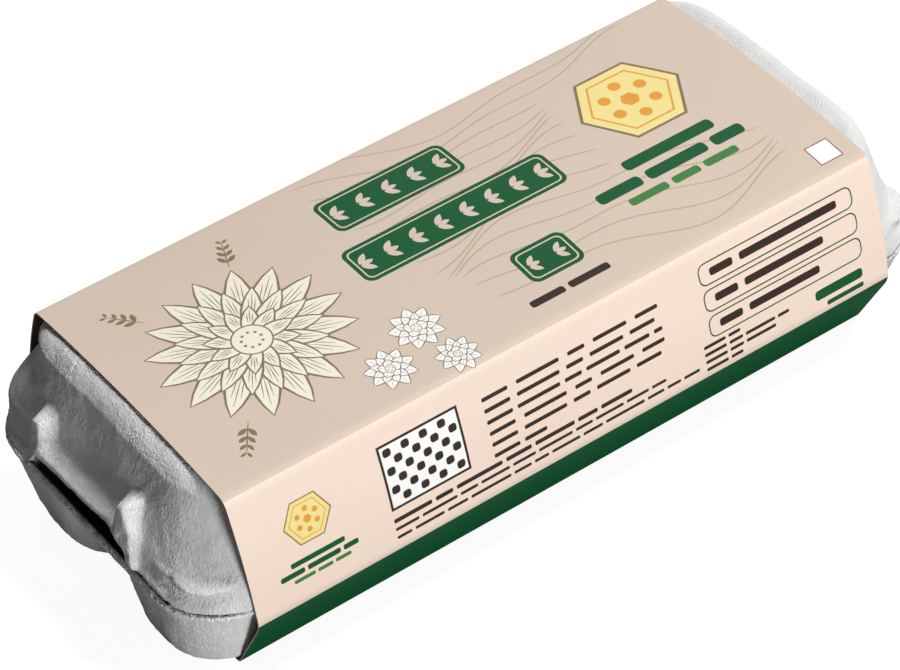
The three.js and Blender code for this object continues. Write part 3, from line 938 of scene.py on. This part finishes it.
# The chains made a surface of triangles, read on a fine grid and blurred
def reliefMap(values):
    points, links = [], []
    for chain in values["chains"].values():
        for a, b in zip(chain, chain[1:]):
            points += [a, b]
            links.append((len(points) - 2, len(points) - 1))
    (y0, y1), (z0, z1) = values["yRange"], values["zRange"]
    ringY, ringZ = np.meshgrid(np.linspace(y0, y1, 9), np.linspace(z0, z1, 5))
    points += [(y, z, 0.0) for y, z in zip(ringY.ravel(), ringZ.ravel()) if z > 56 or z < 29 or abs(y) > 50]
    places = [Vector(p[:2]) for p in points]
    flat, _, faces, origin, _, _ = geometry.delaunay_2d_cdt(places, links, [], 0, 1e-5)
    heights = [points[o[0]][2] if o else 0.0 for o in origin]
    ys = np.arange(y0, y1, values["step"])
    zs = np.arange(z0, z1, values["step"])
    grid = np.zeros((len(ys), len(zs)))
    gridY, gridZ = np.meshgrid(ys, zs, indexing="ij")
    for a, b, c in faces:
        (ay, az), (by, bz), (cy, cz) = (tuple(flat[k]) for k in (a, b, c))
        area = (by - ay) * (cz - az) - (bz - az) * (cy - ay)
        if abs(area) < 1e-9:
            continue
        wb = ((gridY - ay) * (cz - az) - (gridZ - az) * (cy - ay)) / area
        wc = ((by - ay) * (gridZ - az) - (bz - az) * (gridY - ay)) / area
        inside = (wb >= -1e-6) & (wc >= -1e-6) & (wb + wc <= 1 + 1e-6)
        value = heights[a] * (1 - wb - wc) + heights[b] * wb + heights[c] * wc
        grid[inside] = value[inside]
    reach = int(round(3 * values["blur"] / values["step"]))
    kernel = np.exp(-0.5 * (np.arange(-reach, reach + 1) * values["step"] / values["blur"]) ** 2)
    kernel /= kernel.sum()
    for axis in (0, 1):
        grid = np.apply_along_axis(lambda line: np.convolve(line, kernel, "same"), axis, grid)
    return ys, zs, grid


def readMap(found, y, z):
    ys, zs, grid = found
    step = ys[1] - ys[0]
    i = np.clip((y - ys[0]) / step, 0, len(ys) - 2.001)
    k = np.clip((z - zs[0]) / step, 0, len(zs) - 2.001)
    i0, k0 = i.astype(int), k.astype(int)
    fi, fk0 = i - i0, k - k0
    return (grid[i0, k0] * (1 - fi) * (1 - fk0) + grid[i0 + 1, k0] * fi * (1 - fk0)
            + grid[i0, k0 + 1] * (1 - fi) * fk0 + grid[i0 + 1, k0 + 1] * fi * fk0)


# A table's columns read every 0.1 mm and averaged over a reach each way
def softTable(table, reach):
    table = np.array(table, float)
    fine = np.arange(table[0, 0], table[-1, 0] + 0.05, 0.1)
    width = max(1, int(reach / 0.1))
    columns = []
    for k in range(1, table.shape[1]):
        line = np.interp(fine, table[:, 0], table[:, k])
        padded = np.pad(line, width, "edge")
        columns.append(np.convolve(padded, np.ones(2 * width + 1) / (2 * width + 1), "valid"))
    return fine, columns


def readTable(found, key):
    return [np.interp(key, found[0], column) for column in found[1]]


def lidColumns(values):
    spans = values["columns"]
    runs = [np.arange(start, stop - step / 2, step) for (start, step), (stop, _) in zip(spans, spans[1:])]
    return np.append(np.concatenate(runs), spans[-1][0])


# Half a ring of the lid, from the middle of the front to the middle of the back over the +X end.
# size(z) gives half length, half width, front and back corner radius and the radius's share along the pack.
def halfRing(size, level, columns, heights, lift, values):
    length, width, front, back, share = size(heights - lift)[:5]
    radius = np.where(columns < 0, front, back)
    lean = ((np.abs(columns) - width + radius).clip(0) / radius).clip(0, 0.999)
    rise = np.sqrt(1 - lean ** 2)
    across = np.column_stack([length - radius * share * (1 - rise), columns, heights, rise / share,
                              np.sign(columns) * lean])
    pieces = [None, across, None]
    length, width, front, back, share = (float(v) for v in size(level)[:5])
    for side, radius, edge in ((-1, front, 0), (1, back, -1)):
        start = math.asin(float(lean[edge]))
        angles = np.linspace(start, math.pi / 2, values["cornerSteps"] + 1)[1:]
        x = length - radius * share * (1 - np.cos(angles))
        y = side * (width - radius * (1 - np.sin(angles)))
        corner = np.column_stack([x, y, np.full(len(x), level), np.cos(angles) / share,
                                  side * np.sin(angles)])
        x = np.linspace(length - radius * share, 0, values["sideSteps"] + 1)[1:]
        flat = np.ones(len(x))
        straight = np.column_stack([x, side * width * flat, level * flat, 0 * flat, side * flat])
        run = np.concatenate([corner, straight])
        pieces[1 + side] = run[::-1] if side < 0 else run
    ring = np.concatenate(pieces)
    ring[:, 3:] /= np.linalg.norm(ring[:, 3:], axis=1)[:, None]
    return ring


# Rings of the lid from the middle of its ceiling, down inside, round the edge and up to the top
def lidMesh(values):
    walls = softTable(values["walls"], 0.25)
    relief = reliefMap(reliefValues)
    edge = np.array(values["edge"])
    columns = lidColumns(values)
    bottom, top, blendTop = values["bottom"], values["walls"][-1][0], values["blendTop"]
    levels = np.append(np.arange(bottom, top, values["rowStep"]), top)
    crownHeight = float(roofHeight(0)) - top - 0.6
    torn = values["torn"] * bumps(np.column_stack([columns, columns * 0, columns * 0]), 1.3, 8, 3)
    feet = np.interp(columns, edge[:, 0], edge[:, 1])

    def wholeRing(level, inset, reach, size=None):
        def wallSize(z):
            length, front, back, along = readTable(walls, z)
            return length - inset, roomHalf(z) - inset, front - inset, back - inset, along

        share = np.clip((blendTop - level) / (blendTop - bottom), 0, 1)
        tear = torn * (1 - smooth(bottom, bottom + values["tornHeight"], level))
        heights = level + (feet - bottom) * share + tear
        flare = np.clip(feet - bottom, 0, values["flareLift"])
        lift = flare * (1 - smooth(bottom + 1, values["flareEnd"], level))
        place = columns if size is None else columns * size(level)[5]
        half = halfRing(size or wallSize, level, place, heights, lift, values)
        turned = half[::-1][1:-1] * (-1, 1, 1, -1, 1)
        ring = np.concatenate([half, turned])
        place, out = ring[:, :3].copy(), ring[:, 3:]
        stand = reach * readMap(relief, place[:, 1], place[:, 2]) * smooth(0.2, 0.75, np.abs(out[:, 0]))
        place[:, :2] += out * stand[:, None]
        place[:, 0] += values["lean"] * smooth(bottom, 60, level)
        return place

    outer = []
    for level in levels:
        place = wholeRing(level, 0, 1)
        crown = (1 - (place[:, 1] / values["crownHalf"]).clip(-1, 1) ** 2) ** 1.5
        place[:, 2] += crownHeight * crown * smooth(53, top, level)
        outer.append(place)
    last = outer[-1]
    length, front, back, along = (float(c[-1]) for c in walls[1])
    width = float(roomHalf(top))
    (roofLength, roofWidth), corner = values["roofHalf"], values["roofCorner"]
    for t in values["roofSteps"]:
        size = (length + (roofLength - length) * t, width + (roofWidth - width) * t,
                front + (corner - front) * t, back + (corner - back) * t, along,
                1 - (1 - values["roofColumns"]) * t)
        place = wholeRing(top, 0, 0, lambda z: tuple(np.full(np.shape(z), v) for v in size))
        roof = roofHeight(place[:, 1]) - 0.1
        z = last[:, 2] + (roof - last[:, 2]) * smooth(0, 0.6, t)
        outer.append(np.column_stack([place[:, :2], np.minimum(z, roof)]))
    rise = values["ceiling"] - bottom
    inner = [wholeRing(bottom + rise * share, values["thickness"], values["innerRelief"])
             for share in np.linspace(0, 1, values["innerRings"] + 1)]
    middle = (outer[0] + inner[0]) / 2 - (0, 0, 0.12)
    return inner[::-1] + [middle] + outer


# Faces between rings of equally many points, closed by a fan at each end
def closeRings(rings, capMiddles):
    count = len(rings[0])
    points = list(np.concatenate(rings))
    faces = []
    for r in range(len(rings) - 1):
        for i in range(count):
            k = (i + 1) % count
            faces.append((r * count + i, r * count + k, (r + 1) * count + k, (r + 1) * count + i))
    for ring, middle in ((0, capMiddles[0]), (len(rings) - 1, capMiddles[1])):
        points.append(np.array(middle))
        tip = len(points) - 1
        for i in range(count):
            k = (i + 1) % count
            pair = (ring * count + k, ring * count + i) if ring == 0 else (ring * count + i, ring * count + k)
            faces.append((*pair, tip))
    return np.array(points), faces


# Low lumps and a fine roughness along the normals, where the mask is set
def roughen(points, normals, amount, seed, mask):
    near = np.flatnonzero(mask)
    shift = np.zeros(len(points))
    lumps, rough = amount
    shift[near] = lumps * bumps(points[near], 14.0, seed, 2) + rough * bumps(points[near], 2.6, seed + 1, 3)
    return points + normals * shift[:, None]


def meshPoints(piece):
    places = np.zeros(len(piece.data.vertices) * 3)
    piece.data.vertices.foreach_get("co", places)
    return places.reshape(-1, 3) / mm


def meshNormals(piece):
    normals = np.zeros(len(piece.data.vertices) * 3, np.float32)
    piece.data.vertex_normals.foreach_get("vector", normals)
    return normals.reshape(-1, 3)


def finishPulp(piece, amount, seed, inside):
    data, places = piece.data, meshPoints(piece)
    ends = np.abs(places[:, 0] - wrapMiddle) > wrapHalf - 6
    # the mask that gets the near-black painted shade
    shadedHollow = inside(places)
    moved = roughen(places, meshNormals(piece), amount, seed, ends)
    moved[:, 0] = moved[:, 0].clip(-rimHalf, rimHalf)
    data.vertices.foreach_set("co", (moved * mm).ravel())
    # Painted light and shade: a tone ramp from the near end to the far one, and the hollow mask that is
    # painted near black
    for name, value in (("endToEndShade", smooth(-60, 110, places[:, 0])), ("inside", shadedHollow)):
        layer = data.attributes.new(name, "FLOAT", "POINT")
        layer.data.foreach_set("value", np.asarray(value, np.float32))
    data.update()


lidRings = lidMesh(lidValues)
lidMiddles = ((1.0, 0, lidValues["ceiling"]), (1.5, 0, float(roofHeight(0)) - 0.1))
lidPoints, lidFaces = closeRings(lidRings, lidMiddles)
lid = makeObject("pulpLid", lidPoints, lidFaces, [pulp])
# The lid's inner shell is marked for the near-black painted shade
innerCount = lidValues["innerRings"] * len(lidRings[0])
finishPulp(lid, (lidValues["lumps"], lidValues["rough"]), 11,
           lambda places: (np.arange(len(places)) < innerCount) * 1.0)
print("lid made,", len(lidFaces), "faces,", round(time.time() - started, 1), "s")


# Tray

trayValues = {
    "rimTop": 30.7, "rimCorner": 22.5,
    "cupPitch": 53.2, "cupColumns": 5, "floor": 0.85, "floorRadius": 20.9, "mouthHalf": 26.2,
    "floorOffset": 26.0, "mouthOffset": 31.0,
    # share of the depth, and how far the cup is drawn in there
    "cupProfile": [(0, 2.4), (0.02, 1.3), (0.05, 0.6), (0.1, 0.2), (0.2, 0.1), (0.5, 0.0), (0.8, 0.1),
                   (1, 0)],
    "cupCorner": (0.80, 0.74),  # share of the cup's half width, at its floor and at its mouth
    "rimRows": ((2.3, 1.3), (1.38, 0.2), (0.5, 0.0), (0, 0.5)),  # depth below the rim's top, inset
    # height, half length, half width of the body between the cups
    "body": [(2.4, 104, 30), (17, 107, 40), (24.5, 114, 49), (29, 127, 54)],
    "voxel": 0.75, "soften": 5, "middleHalf": 96.0, "middleKeep": 0.12,
    # the hollow inside each end: across and along the pack, height of its floor, depth between the cups
    "pocketSpan": (-26, 30), "pocketStart": 98, "pocketFloor": 5.0, "pocketRidge": 5.0,
    "wall": 1.2, "rimWall": 1.4,
    "lumps": 0.3, "rough": 0.16,
}


def roundedBox(x, y, half, radius, z, steps=10):
    points = []
    for cx, cy, start in ((1, 1, 0), (-1, 1, 90), (-1, -1, 180), (1, -1, 270)):
        for i in range(steps + 1):
            a = math.radians(start + 90 * i / steps)
            points.append((x + cx * (half[0] - radius) + radius * math.cos(a),
                           y + cy * (half[1] - radius) + radius * math.sin(a), z))
    return np.array(points)


# The rim and the body between the cups, as two closed lofts
def trayMesh(values):
    points, faces = [], []

    def addLoft(rings):
        middles = (rings[0].mean(0), rings[-1].mean(0))
        found, made = closeRings(rings, middles)
        faces.extend([tuple(i + len(points) for i in face) for face in made])
        points.extend(found)

    top, corner = values["rimTop"], values["rimCorner"]
    rimWidth = float(roomHalf(top))
    addLoft([roundedBox(0, 0, (rimHalf - inset, rimWidth - inset), corner - inset, top - down, 16)
             for down, inset in values["rimRows"]])
    addLoft([roundedBox(0, 0, (length, width), corner, z, 12) for z, length, width in values["body"]])
    return np.array(points), faces


# A cup at a share of its depth: its middle across the pack, half width, corner radius and height
def cupSize(values, share):
    drawn = float(np.interp(share, *zip(*values["cupProfile"])))
    half = values["floorRadius"] + (values["mouthHalf"] - values["floorRadius"]) * share - drawn
    y = values["floorOffset"] + (values["mouthOffset"] - values["floorOffset"]) * share
    z = values["floor"] + (values["rimTop"] - 1.2 - values["floor"]) * share
    low, high = values["cupCorner"]
    return y, half, half * (low + (high - low) * share), z


def cupMesh(values):
    rings = []
    for share, _ in values["cupProfile"]:
        y, half, radius, z = cupSize(values, share)
        rings.append(roundedBox(0, y, (half, half), radius, z))
    return closeRings(rings, (rings[0].mean(0), rings[-1].mean(0)))


# How low the hollow inside the end cups reaches at each place, one wall above the outside
def hollowFloor(values, places):
    x, y = np.abs(places[:, 0]), np.abs(places[:, 1])
    length, height = [b[1] for b in values["body"]], [b[0] for b in values["body"]]
    under = np.interp(x, length + [rimHalf], height + [values["rimTop"]]) + values["wall"]
    found = np.maximum(under, values["rimTop"] - values["pocketRidge"])
    endCup = values["cupPitch"] * (values["cupColumns"] - 1) / 2
    for share in np.linspace(1, 0.1, 46):
        middle, half, radius, z = cupSize(values, share)
        gap = boxGap(np.abs(x - endCup), np.abs(y - middle), half, half, radius)
        found = np.where(gap < -values["wall"], np.minimum(found, max(z, values["pocketFloor"])), found)
    return np.minimum(found, values["rimTop"])


# How far a place is outside a box with rounded corners, below 0 inside it
def boxGap(x, y, length, width, radius):
    overX, overY = x - length + radius, y - width + radius
    return np.hypot(overX.clip(0), overY.clip(0)) + np.minimum(np.maximum(overX, overY), 0) - radius


# Marks the hollow behind each arch and the rim's top inside its wall, at both ends, for the near-black
# painted shade
def hollowShadeMask(values, places):
    start, stop = values["pocketSpan"]
    x, y, z = np.abs(places[:, 0]), places[:, 1], places[:, 2]
    rim = boxGap(x, np.abs(y), rimHalf, float(roomHalf(values["rimTop"])), values["rimCorner"])
    within = (rim < -values["rimWall"]) & (x > values["pocketStart"])
    opened = (y > start) & (y < stop) & (z > hollowFloor(values, places) - 0.6)
    return within & (opened | (z > values["rimTop"] - 0.9))


def remeshed(piece, voxel):
    change = piece.modifiers.new("remesh", "REMESH")
    change.mode = "VOXEL"
    change.voxel_size = voxel * mm
    change.adaptivity = 0
    return applied(piece)


# Lowers the rim's top to the hollow's floor behind each arched opening
def sinkHollow(piece, values):
    places = meshPoints(piece)
    start, stop = values["pocketSpan"]
    inArch = smooth(start - 2, start + 2, places[:, 1]) * (1 - smooth(stop - 2, stop + 2, places[:, 1]))
    onTop = smooth(values["rimTop"] - 1.6, values["rimTop"] - 0.5, places[:, 2])
    atEnd = smooth(values["pocketStart"] - 2, values["pocketStart"] + 2, np.abs(places[:, 0]))
    places[:, 2] -= (values["rimTop"] - hollowFloor(values, places)) * inArch * onTop * atEnd
    piece.data.vertices.foreach_set("co", (places * mm).ravel())


# Fewer faces under the wrap, where nothing shows
def thinMiddle(piece, values):
    places = meshPoints(piece)
    hidden = np.flatnonzero(np.abs(places[:, 0]) < values["middleHalf"])
    piece.vertex_groups.new(name="middle").add(hidden.tolist(), 1.0, "REPLACE")
    change = piece.modifiers.new("thin", "DECIMATE")
    change.ratio = 1 - (1 - values["middleKeep"]) * len(hidden) / len(places)
    change.vertex_group = "middle"
    change.use_collapse_triangulate = True
    applied(piece)
    piece.vertex_groups.clear()


def trayPiece(values):
    piece = makeObject("pulpTray", *trayMesh(values), [pulp])
    cup = makeObject("cupShape", *cupMesh(values), [pulp])
    growWith(piece, cupArrayTree(), {"Cup": cup, "Columns": values["cupColumns"],
                                     "Cup Pitch": values["cupPitch"] * mm, "Material": pulp})
    bpy.data.objects.remove(cup)
    remeshed(piece, values["voxel"])
    change = piece.modifiers.new("soften", "SMOOTH")
    change.factor = 0.5
    change.iterations = values["soften"]
    applied(piece)
    sinkHollow(piece, values)
    thinMiddle(piece, values)
    piece.data.polygons.foreach_set("use_smooth", np.full(len(piece.data.polygons), True))
    if not piece.data.materials:
        piece.data.materials.append(pulp)
    finishPulp(piece, (values["lumps"], values["rough"]), 23, lambda places: hollowShadeMask(values, places))
    return piece


tray = trayPiece(trayValues)
print("tray made,", len(tray.data.polygons), "faces,", round(time.time() - started, 1), "s")


# Torn fibres along the lid's edge and the tray's rim, at both ends

fibreValues = {"spacing": 0.55, "size": 0.34, "wander": 0.32, "inset": 0.45, "seed": 5, "trayDrop": 0.5}


def edgePaths(values):
    rim = float(roomHalf(trayValues["rimTop"]))
    lidEdge = lidRings[lidValues["innerRings"] + 1]
    trayEdge = roundedBox(0, 0, (rimHalf - 0.3, rim - 0.3), trayValues["rimCorner"], 0, 40)
    trayEdge[:, 2] = trayValues["rimTop"] - values["trayDrop"]
    points, links = [], []
    for ring in (lidEdge, trayEdge):
        kept = np.abs(ring[:, 0] - wrapMiddle) > wrapHalf - 1
        start = len(points)
        drawn = ring.copy()
        drawn[:, 0] -= np.sign(ring[:, 0]) * values["inset"]
        points.extend(drawn)
        count = len(ring)
        links += [(start + i, start + (i + 1) % count) for i in range(count)
                  if kept[i] and kept[(i + 1) % count]]
    return points, links


def fibrePiece(values):
    points, links = edgePaths(values)
    data = bpy.data.meshes.new("rimFibres")
    data.from_pydata([tuple(p) for p in np.array(points) * mm], links, [])
    data.materials.append(pulp)
    piece = bpy.data.objects.new("rimFibres", data)
    bpy.context.scene.collection.objects.link(piece)
    growWith(piece, rimFibreTree(), {
        "Spacing": values["spacing"] * mm, "Flake Size": values["size"] * mm,
        "Wander": values["wander"] * mm, "Seed": values["seed"], "Material": pulp})
    return piece


fibres = fibrePiece(fibreValues)
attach(fibres, "root")
print("fibres made,", len(fibres.data.polygons), "faces,", round(time.time() - started, 1), "s")


# Every piece stands for its solid and rides on the one body

dressed = ((wrap, "card_wrap", "card"), (lid, "carton_lid", "pulp"), (tray, "carton_tray", "pulp"))
for piece, node, slot in dressed:
    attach(piece, "root")
    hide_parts(node)
